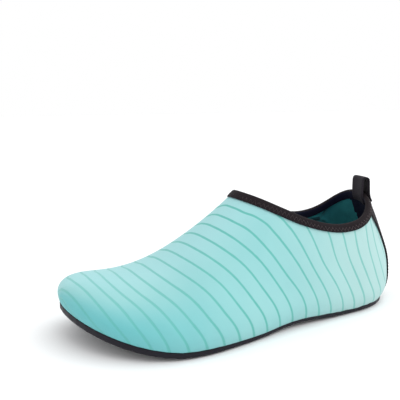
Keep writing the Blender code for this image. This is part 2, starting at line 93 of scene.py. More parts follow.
def new_material(name, roughness, **sockets):
    """A material with its Principled shader; constants go on the shader's own sockets."""
    material = bpy.data.materials.new(name)
    material.use_nodes = True
    tree = material.node_tree
    shader = next(n for n in tree.nodes if n.type == "BSDF_PRINCIPLED")
    shader.inputs["Roughness"].default_value = roughness
    for key, value in sockets.items():
        shader.inputs[key.replace("_", " ")].default_value = value
    return material, tree, shader


def mix(tree, share, first, second):
    """One colour mixed with another."""
    values = {0: share, 6: first, 7: second}
    return add(tree, "ShaderNodeMix", values, data_type="RGBA").outputs[2]


def maths(tree, operation, first, second=0.0, third=0.0):
    """One step of arithmetic."""
    values = {0: first, 1: second, 2: third}
    return add(tree, "ShaderNodeMath", values, operation=operation).outputs[0]


def surface(tree, shader, colour, height, strength, depth):
    """Gives the shader its colour, and a height in shares of a depth as a bump."""
    tree.links.new(colour, shader.inputs["Base Color"])
    bump = add(tree, "ShaderNodeBump", {"Height": height, "Strength": strength, "Distance": depth})
    tree.links.new(bump.outputs[0], shader.inputs["Normal"])


def attribute(piece, name, values):
    """Stores one number or vector for each vertex of a piece."""
    kind = "FLOAT" if np.ndim(values) == 1 else "FLOAT_VECTOR"
    layer = piece.data.attributes.new(name, kind, "POINT")
    field = "value" if kind == "FLOAT" else "vector"
    layer.data.foreach_set(field, np.ravel(values).astype(np.float32))


def cloth_attribute(piece, name, along, across):
    """Stores each vertex's place on a cloth or tape, in mm along it and across it."""
    attribute(piece, name, np.stack([along, across, np.zeros_like(along)], axis=1))


def vertices_of(piece):
    """All vertices of a piece as rows of x, y, z."""
    flat = np.empty(len(piece.data.vertices) * 3, np.float64)
    piece.data.vertices.foreach_get("co", flat)
    return flat.reshape(-1, 3)


def move_vertices(piece, points):
    """Writes rows of x, y, z back into a piece."""
    piece.data.vertices.foreach_set("co", np.ravel(points))
    piece.data.update()


def ride(piece, replaced=None):
    """Every piece rides on the shoe's one body, and the solid it replaces is hidden."""
    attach(piece, "root")
    if replaced:
        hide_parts(replaced)
    print(piece.name, len(piece.data.polygons), "faces")


# %% [markdown]
# ## Camera
# The photo looks at the shoe's outer side from a little above and ahead, from about 0.4 m. The
# place and the lens were found by laying the model's outline over the photo's, with the axis
# through the middle of the picture, so the camera needs no shift.

# %% Camera
CAMERA_PLACE = (0.1725, 0.3373, 0.1474)
CAMERA_TURN = 22.37
CAMERA_TILT = 9.12
CAMERA_ROLL = -0.86
CAMERA_LENS = 49.16

turn, tilt, roll = (math.radians(a) for a in (CAMERA_TURN, CAMERA_TILT, CAMERA_ROLL))
back = Vector((math.sin(turn) * math.cos(tilt), math.cos(turn) * math.cos(tilt), math.sin(tilt)))
right = Vector((0, 0, 1)).cross(back).normalized()
above = back.cross(right)
axes = Matrix((
    math.cos(roll) * right + math.sin(roll) * above,
    math.cos(roll) * above - math.sin(roll) * right,
    back,
)).transposed()
camera = bpy.data.objects.new("camera", bpy.data.cameras.new("camera"))
bpy.context.scene.collection.objects.link(camera)
camera.matrix_world = Matrix.Translation(CAMERA_PLACE) @ axes.to_4x4()
camera.data.lens = CAMERA_LENS
camera.data.sensor_width = 36.0
camera.data.clip_start = 0.01
bpy.context.scene.camera = camera
print("camera", CAMERA_PLACE, "lens", CAMERA_LENS)

# %% [markdown]
# ## Floor and light
# A product photo on white: the surround lights the shoe from everywhere, so hardly anything is
# in shade. One very broad light from above, on the heel's side, is all that models the form. A
# lamp box would light the floor in a patch, and this one, a sun as wide as a sky, lights it
# evenly. The colours are shown straight, without a film curve.

# %% Floor, light and surround
FLOOR = -0.05 * MM
SURROUND = 1.0
LIGHT_FROM = (-0.55, 0.55, 1.0)
LIGHT_WIDTH = 70
LIGHT_STRENGTH = 1.25
bpy.ops.mesh.primitive_plane_add(size=60.0, location=(0, 0, FLOOR))
floor = bpy.context.object
floor.name = "floor"
# Matt background paper: no gloss, and a faint tooth that keeps it from looking flat
paper, tree, shader = new_material("matt_white_paper", 0.9, Specular_IOR_Level=0.1)
grain = add(tree, "ShaderNodeTexNoise", {"Scale": 60.0, "Detail": 3.0})
shader_colour = mix(tree, grain.outputs[0], linear("F4F5F6"), linear("F7F8F9"))
tree.links.new(shader_colour, shader.inputs["Base Color"])
floor.data.materials.append(paper)

surround = bpy.data.worlds.new("surround")
surround.use_nodes = True
surround.node_tree.nodes["Background"].inputs[0].default_value = (1.0, 1.0, 1.0, 1.0)
surround.node_tree.nodes["Background"].inputs[1].default_value = SURROUND
bpy.context.scene.world = surround
bpy.context.scene.view_settings.view_transform = "Standard"

lamp = bpy.data.lights.new("broad_light", "SUN")
lamp.energy = LIGHT_STRENGTH
lamp.angle = math.radians(LIGHT_WIDTH)
panel = bpy.data.objects.new("broad_light", lamp)
bpy.context.scene.collection.objects.link(panel)
panel.matrix_world = Vector(LIGHT_FROM).to_track_quat("Z", "Y").to_matrix().to_4x4()
print("light", LIGHT_STRENGTH, "surround", SURROUND)

# %% [markdown]
# ## The shoe's own measures
# Printed lines, creases and cloth follow the last, so they need a place on it, and not a place
# in space. Two numbers give it: how far along the shoe, and the angle round it, from 0 degrees
# at the sole's edge to 90 at the ridge of the instep. The ridge over the ankle isn't there, so a
# short table carries it on from the instep.

# %% Sizes of the underside and of the ridge
LENGTH = 0.250
HEEL_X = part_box("outsole")[0][0]
TOE_SPRING, SPRING_START = 0.018, 0.69
ARCH_RISE, ARCH_BACK, ARCH_FRONT = 0.0022, 0.21, 0.55
HEEL_LIFT, HEEL_LIFT_END = 0.0025, 0.08
SOLE_EDGE = 0.004
RIDGE = {
    "at":     (0.00, 0.12, 0.25, 0.38, 0.47, 0.53, 0.61, 0.68, 0.76, 0.83, 0.91, 1.00),
    "height": (0.123, 0.123, 0.120, 0.112, 0.0986, 0.0860,
               0.0702, 0.0585, 0.0463, 0.0380, 0.0314, 0.0272),
    "across": (-0.0116, -0.0106, -0.0077, -0.0038, -0.0028, -0.0028,
               -0.0038, -0.0048, -0.0077, -0.0106, -0.0155, -0.0215),
}


def underside(x):
    """Height of the sole's underside over the floor."""
    at = (np.asarray(x) - HEEL_X) / LENGTH
    toe = np.clip((at - SPRING_START) / (1 - SPRING_START), 0, None)
    heel = np.clip(1 - at / HEEL_LIFT_END, 0, None)
    arch = np.clip((at - ARCH_BACK) / (ARCH_FRONT - ARCH_BACK), 0, 1)
    return TOE_SPRING * toe**2 + HEEL_LIFT * heel**2 + ARCH_RISE * np.sin(np.pi * arch) ** 2


def through(xs, ys, at):
    """A smooth curve through a table's values."""
    xs, ys = np.asarray(xs, float), np.asarray(ys, float)
    run = np.diff(xs)
    steps = np.diff(ys) / run
    slopes = np.concatenate([
        steps[:1], (steps[:-1] * run[1:] + steps[1:] * run[:-1]) / (xs[2:] - xs[:-2]), steps[-1:]])
    at = np.clip(at, xs[0], xs[-1])
    i = np.clip(np.searchsorted(xs, at) - 1, 0, len(xs) - 2)
    t = (at - xs[i]) / run[i]
    start = ys[i] * (1 + 2 * t) * (1 - t) ** 2 + run[i] * slopes[i] * t * (1 - t) ** 2
    return start + ys[i + 1] * t * t * (3 - 2 * t) - run[i] * slopes[i + 1] * t * t * (1 - t)


def cut_across(piece, stations):
    """Least and greatest y where planes across the shoe cut a piece."""
    points = vertices_of(piece)
    ends = np.array([tuple(edge.vertices) for edge in piece.data.edges])
    a, b = points[ends[:, 0]], points[ends[:, 1]]
    rows = []
    for x in stations:
        cut = (a[:, 0] - x) * (b[:, 0] - x) < 0
        share = (x - a[cut, 0]) / (b[cut, 0] - a[cut, 0])
        y = a[cut, 1] + (b[cut, 1] - a[cut, 1]) * share
        rows.append((y.min(), y.max()))
    return np.array(rows)


low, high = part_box("upper")
STATIONS = np.linspace(low[0] + 0.5 * MM, high[0] - 0.5 * MM, 100)
WIDTHS = cut_across(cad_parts["upper"], STATIONS)
HEEL_TURN, TURN_BLEND = 32 * MM, 0.6
BACK = []
points = vertices_of(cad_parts["upper"])
for level in np.arange(low[2] + 2 * MM, high[2], 6 * MM):
    near = points[np.abs(points[:, 2] - level) < 4 * MM]
    if near[:, 0].min() < HEEL_X + HEEL_TURN:
        BACK.append((level, near[:, 0].min() - HEEL_X))
BACK = np.array(BACK)
print("widest at", round(float(STATIONS[np.argmax(WIDTHS[:, 1] - WIDTHS[:, 0])]) * 1000), "mm")


def place_on_last(points):
    """Length along the shoe from the heel in mm, angle round the last in degrees, and side.

    Round the back of the heel the length goes on along the cloth, as if it were laid flat.
    """
    x, y, z = points.T
    at = (x - HEEL_X) / LENGTH
    height = np.interp(at, RIDGE["at"], RIDGE["height"])
    ridge = np.interp(at, RIDGE["at"], RIDGE["across"])
    inner = np.interp(x, STATIONS, WIDTHS[:, 0])
    outer = np.interp(x, STATIONS, WIDTHS[:, 1])
    side = np.where(y > ridge, 1, -1)
    half = np.where(side > 0, outer - ridge, ridge - inner)
    rise = np.clip(z - underside(x) - SOLE_EDGE, 0, None) / height
    across = np.abs(y - ridge) / np.maximum(half, MM)
    behind = np.clip((HEEL_TURN - at * LENGTH) / (TURN_BLEND * HEEL_TURN), 0, 1)
    angle = np.degrees(np.arctan2(rise, across + (1 - across) * behind))
    levels = BACK[:, 0]
    reach = HEEL_TURN - np.interp(z, levels, BACK[:, 1])
    turn_x = HEEL_X + HEEL_TURN
    half_there = np.where(
        side > 0, np.interp(turn_x, STATIONS, WIDTHS[:, 1]) - ridge,
        ridge - np.interp(turn_x, STATIONS, WIDTHS[:, 0]))
    swing = np.arctan2(np.abs(y - ridge) / half_there, np.clip((turn_x - x) / reach, 0, None))
    arc = math.pi / 2 * np.sqrt((reach**2 + half_there**2) / 2)
    developed = HEEL_TURN - arc * (1 - swing / (math.pi / 2))
    along = np.where(x < turn_x, developed, at * LENGTH)
    return along / MM, angle, side


# %% [markdown]
# ## Upper: the form
# The real upper is one stretch knit bonded to a thin backing and pulled over a last. Its form is
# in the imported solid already, in coarse steps. A copy of it is merged, its triangles are paired,
# and two levels of subdivision round it. The edge that sits on the sole is creased first, or the
# subdivision would lift it off the rubber. Sculpting the soft creases by hand would work too,
# but a short table in the shoe's own sizes can be read and changed.

# %% Copy and smooth the upper
PAIR_LIMIT = math.radians(70)
CORNER = math.radians(50)


def copy_node(node, name):
    """A node's mesh as a new piece: doubles merged, triangles paired."""
    piece = bpy.data.objects.new(name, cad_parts[node].data.copy())
    bpy.context.scene.collection.objects.link(piece)
    activate(piece)
    bpy.ops.object.mode_set(mode="EDIT")
    bpy.ops.mesh.select_all(action="SELECT")
    bpy.ops.mesh.customdata_custom_splitnormals_clear()
    bpy.ops.mesh.remove_doubles(threshold=0.01 * MM)
    bpy.ops.mesh.tris_convert_to_quads(face_threshold=PAIR_LIMIT, shape_threshold=PAIR_LIMIT)
    bpy.ops.object.mode_set(mode="OBJECT")
    piece.data.materials.clear()
    return piece


def crease_corners(piece, sharpness):
    """Keeps the corners of a flat strap under subdivision."""
    bm = bmesh.new()
    bm.from_mesh(piece.data)
    turns = [edge.calc_face_angle(math.pi) for edge in bm.edges]
    bm.free()
    layer = piece.data.attributes.new("crease_edge", "FLOAT", "EDGE")
    layer.data.foreach_set("value", [sharpness if turn > CORNER else 0.0 for turn in turns])


def crease_edges(piece, chosen):
    """Keeps the edges between chosen vertices sharp under subdivision."""
    layer = piece.data.attributes.new("crease_edge", "FLOAT", "EDGE")
    layer.data.foreach_set(
        "value", [float(chosen[e.vertices[0]] and chosen[e.vertices[1]]) for e in piece.data.edges])


def subdivide(piece, levels):
    """Applies Subdivision Surface."""
    activate(piece)
    modifier = piece.modifiers.new("round", "SUBSURF")
    modifier.levels = levels
    modifier.render_levels = levels
    bpy.ops.object.modifier_apply(modifier=modifier.name)
    bpy.ops.object.shade_smooth()


# The wall's lowest rows, by share of the shoe's length
SEAT_TOP = {"at": (0.0, 0.3, 1.0), "height": (4.4 * MM, 4.2 * MM, 5.9 * MM)}
upper = copy_node("upper", "stretch_upper")
points = vertices_of(upper)
seat_top = np.interp((points[:, 0] - HEEL_X) / LENGTH, SEAT_TOP["at"], SEAT_TOP["height"])
seat = points[:, 2] - underside(points[:, 0]) < np.minimum(seat_top, SOLE_EDGE + 1.6 * MM)
crease_edges(upper, seat)
print("creased seat vertices", int(seat.sum()))
subdivide(upper, 2)

# %% [markdown]
# ### Creases
# Worn or not, a knit shoe that stands empty shows soft creases: the collar's elastic gathers the
# cloth in small ripples, the side sinks a little under the ankle, and the vamp keeps a faint
# trough where the toes bend. Each row is one trough with a low ridge on both sides.

# %% Move the cloth into soft creases
CREASES = {
    # mm from the heel, degrees round the last, half length and half width in mm, lean, depth
    "along":  (66.0, 92.0, 150.0, 171.0, 186.0, 30.0, 14.0, 205.0, 120.0),
    "round":  (19.0, 12.0, 30.0, 12.0, 16.0, 9.0, 26.0, 20.0, 40.0),
    "length": (22.0, 15.0, 16.0, 10.0, 12.0, 12.0, 9.0, 12.0, 18.0),
    "width":  (6.0, 5.0, 5.0, 4.0, 4.5, 3.5, 4.0, 5.0, 6.0),
    "lean":   (12.0, 20.0, 62.0, 70.0, 75.0, 8.0, 80.0, 40.0, 50.0),
    "depth":  (0.55, 0.35, 0.30, 0.30, 0.30, 0.30, 0.30, 0.35, 0.25),
}
LINING_CREASES = {
    "along":  (48.0, 40.0, 26.0, 74.0),
    "round":  (26.0, 30.5, 34.0, 29.0),
    "length": (30.0, 24.0, 16.0, 22.0),
    "width":  (1.7, 1.5, 1.5, 1.7),
    "lean":   (-6.0, 4.0, -12.0, -5.0),
    "depth":  (0.8, 0.8, 0.7, 0.7),
}
MM_PER_DEGREE = 0.95
CREASE_BEND = 0.012
RIPPLE_LENGTH, RIPPLE_DEPTH = 8.5, 0.16
RIPPLE_START, RIPPLE_REACH, RIPPLE_END = 4, 12.0, 40
RIPPLE_SWAY, SWAY_LENGTH = 1.3, 11
FADE_HEIGHT = 6 * MM
CORE_REACH, CORE_HEIGHT = 0.085, 0.022


def troughs(table, along, angle):
    """Depth in mm of a table's creases, each one bent a little, at places on the last."""
    total = np.zeros_like(along)
    for row in range(len(table["along"])):
        lean = math.radians(table["lean"][row])
        u = along - table["along"][row]
        v = (angle - table["round"][row]) * MM_PER_DEGREE
        run = u * math.cos(lean) + v * math.sin(lean)
        off = (v * math.cos(lean) - u * math.sin(lean) + CREASE_BEND * run**2) / table["width"][row]
        end = np.exp(-1.5 * (run / table["length"][row]) ** 2)
        total += table["depth"][row] * (1 - off**2) * np.exp(-off**2 / 2) * end
    return total


def normals_of(piece):
    """All vertex normals of a piece as rows of x, y, z."""
    flat = np.empty(len(piece.data.vertices) * 3, np.float32)
    piece.data.vertices.foreach_get("normal", flat)
    return flat.reshape(-1, 3).astype(np.float64)


def faces_inside(points, normals):
    """True where a face of the wall looks into the shoe."""
    x = np.clip(points[:, 0], -CORE_REACH, CORE_REACH)
    y = np.interp(x, STATIONS, WIDTHS.mean(axis=1))
    z = CORE_HEIGHT + underside(x)
    core = np.stack([x, y, z], axis=1)
    return ((points - core) * normals).sum(axis=1) < 0


points = vertices_of(upper)
normals = normals_of(upper)
inside = faces_inside(points, normals)
along, angle, side = place_on_last(points)
depth = troughs(CREASES, along, angle)
lining = troughs(LINING_CREASES, along, angle) * (side < 0)
collar_low, collar_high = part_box("collar_binding")
collar_middle = (np.array(collar_low) + np.array(collar_high)) / 2


def round_collar(points):
    """Angle round the collar's middle, seen from above."""
    return np.arctan2(points[:, 1] - collar_middle[1], points[:, 0] - collar_middle[0])


binding = copy_node("collar_binding", "elastic_binding")
subdivide(binding, 2)
binding_points = vertices_of(binding)
binding_turn = round_collar(binding_points)
TURNS = np.linspace(-math.pi, math.pi, 145)[:-1]
SLICE = 0.05
COLLAR_LINE = []
for turn in TURNS:
    near = np.abs((binding_turn - turn + math.pi) % (2 * math.pi) - math.pi) < SLICE
    ring = binding_points[near]
    COLLAR_LINE.append((*ring[:, :2].mean(axis=0), ring[:, 2].max()))
COLLAR_LINE = np.array(COLLAR_LINE)
TOP_EDGE = COLLAR_LINE[:, 2]
steps = np.linalg.norm(np.diff(np.concatenate([COLLAR_LINE, COLLAR_LINE[:1]]), axis=0), axis=1)
COLLAR_RUN = np.concatenate([[0.0], np.cumsum(steps)])
print("collar", round(COLLAR_RUN[-1] * 1000), "mm round")


def collar_place(points):
    """Length round the collar and depth under its top edge, both in mm."""
    turn = round_collar(points)
    ring = np.concatenate([TURNS, [TURNS[0] + 2 * math.pi]])
    top = np.interp(turn, ring, np.concatenate([TOP_EDGE, TOP_EDGE[:1]]))
    run = np.interp(turn, ring, COLLAR_RUN)
    return run / MM, (top - points[:, 2]) / MM


run, under = collar_place(points)
gather = np.exp(-np.clip(under - RIPPLE_START, 0, None) / RIPPLE_REACH) * (under < RIPPLE_END)
sway = RIPPLE_SWAY * np.sin(run / SWAY_LENGTH)
ripple = RIPPLE_DEPTH * np.sin(2 * math.pi * run / RIPPLE_LENGTH + sway) * gather
# Nothing moves at the sole or under the binding
free = np.clip((points[:, 2] - underside(points[:, 0]) - SOLE_EDGE) / FADE_HEIGHT, 0, 1)
free = free * np.clip((under - 7.0) / 3.0, 0, 1)
sunk = (depth + ripple) * free
raised = np.where(inside, sunk + lining * free, -sunk)
# The lining's crease depth, kept for the painted shade in its folds
attribute(upper, "fold_shade", np.where(inside, lining * free, 0.0))
move_vertices(upper, points + normals * (raised * MM)[:, None])
print("deepest crease", round(float(depth.max()), 2), "mm")

# %% [markdown]
# ### Printed lines
# Thin darker lines are pressed into the cloth. Each one leaves the sole upright, leans forward as
# it climbs, and crosses the instep to come down the other side. A table gives where each line
# stands at seven angles, in mm from the heel; every vertex then gets the number of the line that
# it lies on, as a fraction, and the gap between lines there, and the material draws a line at
# each whole number. An image would do it too, but numbers on the surface stay sharp at any size.

# %% Where the lines run
LINE_ANGLES = (0.0, 8.0, 20.0, 35.0, 53.0, 67.0, 90.0)
LINES = {
    -12: (-40.0, -30.0, -19.0, -17.0, -15.0, -13.0, -11.0),
    -11: (-27.0, -17.0, -6.0, -4.0, -2.0, 0.0, 2.0),
    -10: (-14.0, -4.0, 7.4, 8.5, 11.0, 13.0, 15.0),
    -9: (-1.6, 11.4, 20.3, 21.6, 24.0, 28.0, 32.0),
    -8: (13.2, 23.0, 31.5, 33.5, 38.0, 43.0, 48.0),
    -7: (25.1, 33.3, 42.8, 46.0, 53.0, 58.0, 63.0),
    -6: (37.0, 43.4, 52.8, 57.8, 66.0, 72.0, 78.0),
    -5: (47.0, 53.7, 64.2, 71.0, 81.0, 88.0, 95.0),
    -4: (58.1, 64.3, 76.6, 86.8, 99.0, 107.0, 115.0),
    -3: (69.5, 75.8, 87.4, 98.6, 112.5, 121.5, 128.8),
    -2: (80.5, 86.0, 97.2, 109.6, 121.9, 131.4, 138.9),
    -1: (92.1, 96.9, 109.4, 120.8, 131.4, 139.2, 146.0),
    0: (103.8, 108.9, 119.2, 129.8, 141.0, 147.6, 153.6),
    4: (148.7, 152.7, 161.0, 169.0, 178.0, 183.0, 187.4),
    8: (196.5, 198.6, 203.2, 209.4, 217.8, 221.6, 224.4),
    9: (206.0, 208.8, 214.2, 220.0, 227.0, 230.6, 233.4),
    10: (217.0, 220.3, 226.4, 232.6, 238.0, 241.0, 243.2),
    11: (228.0, 234.4, 240.5, 246.2, 250.4, 252.0, 253.0),
    12: (241.0, 246.0, 251.0, 255.5, 259.5, 261.5, 263.0),
}
MEAN_GAP = 11.0
APEX = 104.0
APEX_LEAD = 0.35
numbers = np.array(list(LINES))
table = np.array(list(LINES.values()))


def line_number(along, angle, side):
    """Number of the printed line at places on the last.

    A line leans forward until it is a little over the ridge, at the apex, and goes back down the
    inner side as it came up, over fewer degrees.
    """
    inner = np.where(angle > 180 - APEX, 180 - angle, angle * APEX / (180 - APEX))
    round_last = np.where(side > 0, angle, inner)
    mirrored = [2 * APEX - a for a in LINE_ANGLES[:-3:-1]]
    angles = (*LINE_ANGLES, APEX, *mirrored)
    crossing = []
    for *start, low, high in table:
        row = (*start, low, high, high + APEX_LEAD * (high - low), high, low)
        crossing.append(through(angles, row, round_last))
    result = numbers[0] + (along - crossing[0]) / MEAN_GAP
    for k in range(len(numbers) - 1):
        here = (along >= crossing[k]) & (along < crossing[k + 1])
        share = (along - crossing[k]) / (crossing[k + 1] - crossing[k])
        result[here] = (numbers[k] + (numbers[k + 1] - numbers[k]) * share)[here]
    ahead = along >= crossing[-1]
    result[ahead] = (numbers[-1] + (along - crossing[-1]) / MEAN_GAP)[ahead]
    return result


points = vertices_of(upper)
along, angle, side = place_on_last(points)
line = line_number(along, angle, side)
ends = np.empty(len(upper.data.edges) * 2, np.int32)
upper.data.edges.foreach_get("vertices", ends)
ends = ends.reshape(-1, 2)
apart = np.linalg.norm(points[ends[:, 0]] - points[ends[:, 1]], axis=1) / MM
slope = ((line[ends[:, 0]] - line[ends[:, 1]]) / np.maximum(apart, 0.01)) ** 2
total = np.bincount(ends.ravel(), np.repeat(slope, 2), len(points))
count = np.bincount(ends.ravel(), minlength=len(points))
gap = 1 / np.sqrt(np.maximum(2 * total / np.maximum(count, 1), 1e-4))
attribute(upper, "line_number", line)
attribute(upper, "line_gap", np.clip(gap, 3.0, 20.0))
cloth_attribute(upper, "cloth", along, angle * MM_PER_DEGREE)
print("lines", round(float(line.min()), 1), "to", round(float(line.max()), 1))

# %% [markdown]
# ### Cloth
# Outside: a polyester and elastane knit, dyed aqua, with a soft matt face and a faint sheen at
# grazing angles. Its stitches are a third of a millimetre and are drawn at 0.9 mm, as coarse as
# they need to be to show. The printed line is a little darker, glossier and pressed in.
# Inside: the same knit's backing in deep teal, brushed and duller.

# %% Aqua knit and teal lining
WALE = 0.9
COURSE = 0.8 * WALE
LINE_WIDTH = 1.5

aqua_knit, tree, shader = new_material(
    "aqua_polyester_knit", 0.72, Sheen_Weight=0.12, Sheen_Roughness=0.45, Specular_IOR_Level=0.2)
cloth = add(tree, "ShaderNodeAttribute", attribute_name="cloth").outputs["Vector"]
number = add(tree, "ShaderNodeAttribute", attribute_name="line_number").outputs["Fac"]
spacing = add(tree, "ShaderNodeAttribute", attribute_name="line_gap").outputs["Fac"]
place = add(tree, "ShaderNodeTexCoord").outputs["Object"]
# Distance to the nearest line in mm, with the slight waver of a heat press
off = maths(tree, "SUBTRACT", maths(tree, "FRACT", maths(tree, "ADD", number, 20.5)), 0.5)
distance = maths(tree, "MULTIPLY", maths(tree, "ABSOLUTE", off), spacing)
waver = add(tree, "ShaderNodeTexNoise", {"Vector": place, "Scale": 220.0, "Detail": 2.0}).outputs[0]
waver = maths(tree, "MULTIPLY", maths(tree, "SUBTRACT", waver, 0.5), 0.35)
distance = maths(tree, "ADD", distance, waver)
on_line = add(tree, "ShaderNodeMapRange", {
    "Value": distance, "From Min": 0.28 * LINE_WIDTH, "From Max": 0.72 * LINE_WIDTH,
    "To Min": 1.0, "To Max": 0.0}, interpolation_type="SMOOTHSTEP").outputs[0]
# Knit: upright wales with a small V in each course
split = add(tree, "ShaderNodeSeparateXYZ", {0: cloth})
forward, upward = split.outputs[0], split.outputs[1]
wale = maths(tree, "PINGPONG", maths(tree, "DIVIDE", forward, WALE), 0.5)
course = maths(tree, "DIVIDE", upward, COURSE)
course = maths(tree, "ADD", course, maths(tree, "MULTIPLY", wale, 1.2))
loops = maths(tree, "MULTIPLY", maths(tree, "PINGPONG", course, 0.5), maths(tree, "ADD", wale, 0.15))
fuzz = add(tree, "ShaderNodeTexNoise", {"Vector": place, "Scale": 2600.0, "Detail": 3.0}).outputs[0]
cloud = add(tree, "ShaderNodeTexNoise", {"Vector": place, "Scale": 26.0, "Detail": 3.0}).outputs[0]
patchy = add(tree, "ShaderNodeMapRange", {"Value": cloud, "From Min": 0.3, "From Max": 0.7}).outputs[0]
colour = mix(tree, patchy, linear("8AC1C2"), linear("92C6C6"))
# Painted light: the cloth is painted deeper low on the toe as painted shade, and paler on the crown
# and at the heel as painted highlight. Each zone runs from one length or height in mm to another.
zones = []
for value, start, end in ((forward, 130, 230), (upward, 40, 72), (upward, 48, 14), (forward, 130, 20)):
    values = {"Value": value, "From Min": start, "From Max": end}
    zones.append(add(tree, "ShaderNodeMapRange", values, interpolation_type="SMOOTHSTEP").outputs[0])
toe, painted_crown_highlight, low, heel = zones
# Painted highlight on the crown
colour = mix(tree, maths(tree, "MULTIPLY", painted_crown_highlight, 0.45), colour, linear("A9D4D8"))
painted_toe_shade = maths(tree, "MULTIPLY", toe, maths(tree, "MULTIPLY", low, 0.66))
# Painted shade low on the toe
colour = mix(tree, painted_toe_shade, colour, linear("48AEB3"))
# Painted highlight at the heel
colour = mix(tree, maths(tree, "MULTIPLY", heel, 0.6), colour, linear("B8CFCB"))
colour = mix(tree, maths(tree, "MULTIPLY", fuzz, 0.12), colour, linear("7CBCBE"))
faint = maths(tree, "ADD", maths(tree, "MULTIPLY", toe, 0.35), maths(tree, "MULTIPLY", heel, 0.3))
faint = maths(tree, "SUBTRACT", 0.9, faint)
colour = mix(tree, maths(tree, "MULTIPLY", on_line, faint), colour, linear("56ABA2"))
relief = maths(tree, "ADD", maths(tree, "MULTIPLY", loops, 0.10), maths(tree, "MULTIPLY", fuzz, 0.05))
relief = maths(tree, "SUBTRACT", relief, maths(tree, "MULTIPLY", on_line, 0.22))
surface(tree, shader, colour, relief, 0.55, 1.0 * MM)
dull = add(tree, "ShaderNodeMapRange", {"Value": on_line, "To Min": 0.74, "To Max": 0.52}).outputs[0]
tree.links.new(dull, shader.inputs["Roughness"])

teal_lining, tree, shader = new_material(
    "teal_brushed_lining", 0.9, Sheen_Weight=0.1, Sheen_Roughness=0.5, Specular_IOR_Level=0.15)
place = add(tree, "ShaderNodeTexCoord").outputs["Object"]
nap = add(tree, "ShaderNodeTexNoise", {"Vector": place, "Scale": 900.0, "Detail": 4.0}).outputs[0]
cloud = add(tree, "ShaderNodeTexNoise", {"Vector": place, "Scale": 55.0, "Detail": 3.0}).outputs[0]
worn = add(tree, "ShaderNodeMapRange", {"Value": cloud, "From Min": 0.35, "From Max": 0.65}).outputs[0]
colour = mix(tree, worn, linear("26767F"), linear("369398"))
colour = mix(tree, maths(tree, "MULTIPLY", nap, 0.3), colour, linear("1C5A63"))
# Painted shade: the lining is painted darker in its folds, where less light falls
fold_shade = add(tree, "ShaderNodeAttribute", attribute_name="fold_shade").outputs["Fac"]
painted_fold_shade = add(tree, "ShaderNodeMapRange", {"Value": fold_shade, "From Min": 0.12, "From Max": 0.6},
           interpolation_type="SMOOTHSTEP").outputs[0]
colour = mix(tree, maths(tree, "MULTIPLY", painted_fold_shade, 0.85), colour, linear("0B2833"))
surface(tree, shader, colour, nap, 0.35, 0.3 * MM)

def tape_material(name, dark, light, rib, rough):
    """Woven or knitted polyester tape: a dull, nearly black face with ribs and a little lint."""
    material, tree, shader = new_material(name, rough, Sheen_Weight=0.03, Specular_IOR_Level=0.12)
    tape = add(tree, "ShaderNodeAttribute", attribute_name="tape").outputs["Vector"]
    split = add(tree, "ShaderNodeSeparateXYZ", {0: tape})
    ribs = maths(tree, "PINGPONG", maths(tree, "DIVIDE", split.outputs[1], rib), 0.5)
    cross = maths(tree, "ADD", maths(tree, "DIVIDE", split.outputs[0], rib), ribs)
    cross = maths(tree, "PINGPONG", cross, 0.5)
    weave = maths(tree, "MULTIPLY", maths(tree, "ADD", ribs, 0.1), maths(tree, "ADD", cross, 0.2))
    place = add(tree, "ShaderNodeTexCoord").outputs["Object"]
    lint = add(tree, "ShaderNodeTexNoise", {"Vector": place, "Scale": 700.0, "Detail": 4.0}).outputs[0]
    share = maths(tree, "MULTIPLY", weave, 1.6)
    share = maths(tree, "ADD", share, maths(tree, "MULTIPLY", lint, 0.5))
    colour = mix(tree, share, linear(dark), linear(light))
    relief = maths(tree, "ADD", weave, maths(tree, "MULTIPLY", lint, 0.2))
    surface(tree, shader, colour, relief, 0.7, 0.5 * MM)
    return material


def faces_in(piece):
    """True for each face that looks into the shoe."""
    centres = np.array([tuple(face.center) for face in piece.data.polygons])
    return faces_inside(centres, np.array([tuple(face.normal) for face in piece.data.polygons]))


# Inside, a tape covers the back seam too, a little towards the outer side
looks_in = faces_in(upper)
centres = np.array([tuple(face.center) for face in upper.data.polygons])
tape_low, tape_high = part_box("heel_tape")
at_seam = (centres[:, 1] > tape_low[1] + 2 * MM) & (centres[:, 1] < tape_high[1] + 3 * MM)
at_seam &= looks_in & (centres[:, 0] < HEEL_X + 40 * MM) & (centres[:, 2] > 8 * MM)
upper.data.materials.append(aqua_knit)
upper.data.materials.append(teal_lining)
cloth_attribute(upper, "tape", points[:, 2] / MM, points[:, 1] / MM)
upper.data.materials.append(tape_material("navy_seam_tape", "070919", "1B1F3A", 1.2, 0.8))
upper.data.polygons.foreach_set("material_index", np.where(at_seam, 2, looks_in).astype(np.int32))
ride(upper, "upper")

# %% [markdown]
# ## Collar binding
# An elastic tape is folded over the raw edge and sewn down with a zigzag, so that the collar can
# stretch over the heel. A twisted thread can be a texture, but along an edge that the light
# catches it needs to stand up, so the tape is a subdivided copy of the solid and the thread is a
# thin tube that lies on it.

# %% Elastic tape
run, under = collar_place(vertices_of(binding))
cloth_attribute(binding, "tape", run, under)
# The same black tape, with the teal light that the lining throws on its inner faces painted in as navy: a
# painted reflection
binding.data.materials.append(tape_material("black_elastic_tape", "0E0A0D", "241C20", 0.9, 0.75))
binding.data.materials.append(tape_material("elastic_tape_painted_lining_bounce", "060714", "121530", 0.9, 0.8))
binding.data.polygons.foreach_set("material_index", faces_in(binding).astype(np.int32))
ride(binding, "collar_binding")

# %% [markdown]
# ### Zigzag
# One thread runs to and fro along the outer face of the tape. It could be drawn as a bump, which
# vanishes at the rim, so it is a thin tube through points that rays find on the tape.

# %% Zigzag thread
THREAD = 0.17 * MM
ZIGZAG_STEP = 1.5
ZIGZAG_LOW, ZIGZAG_HIGH = 5.0, 2.6


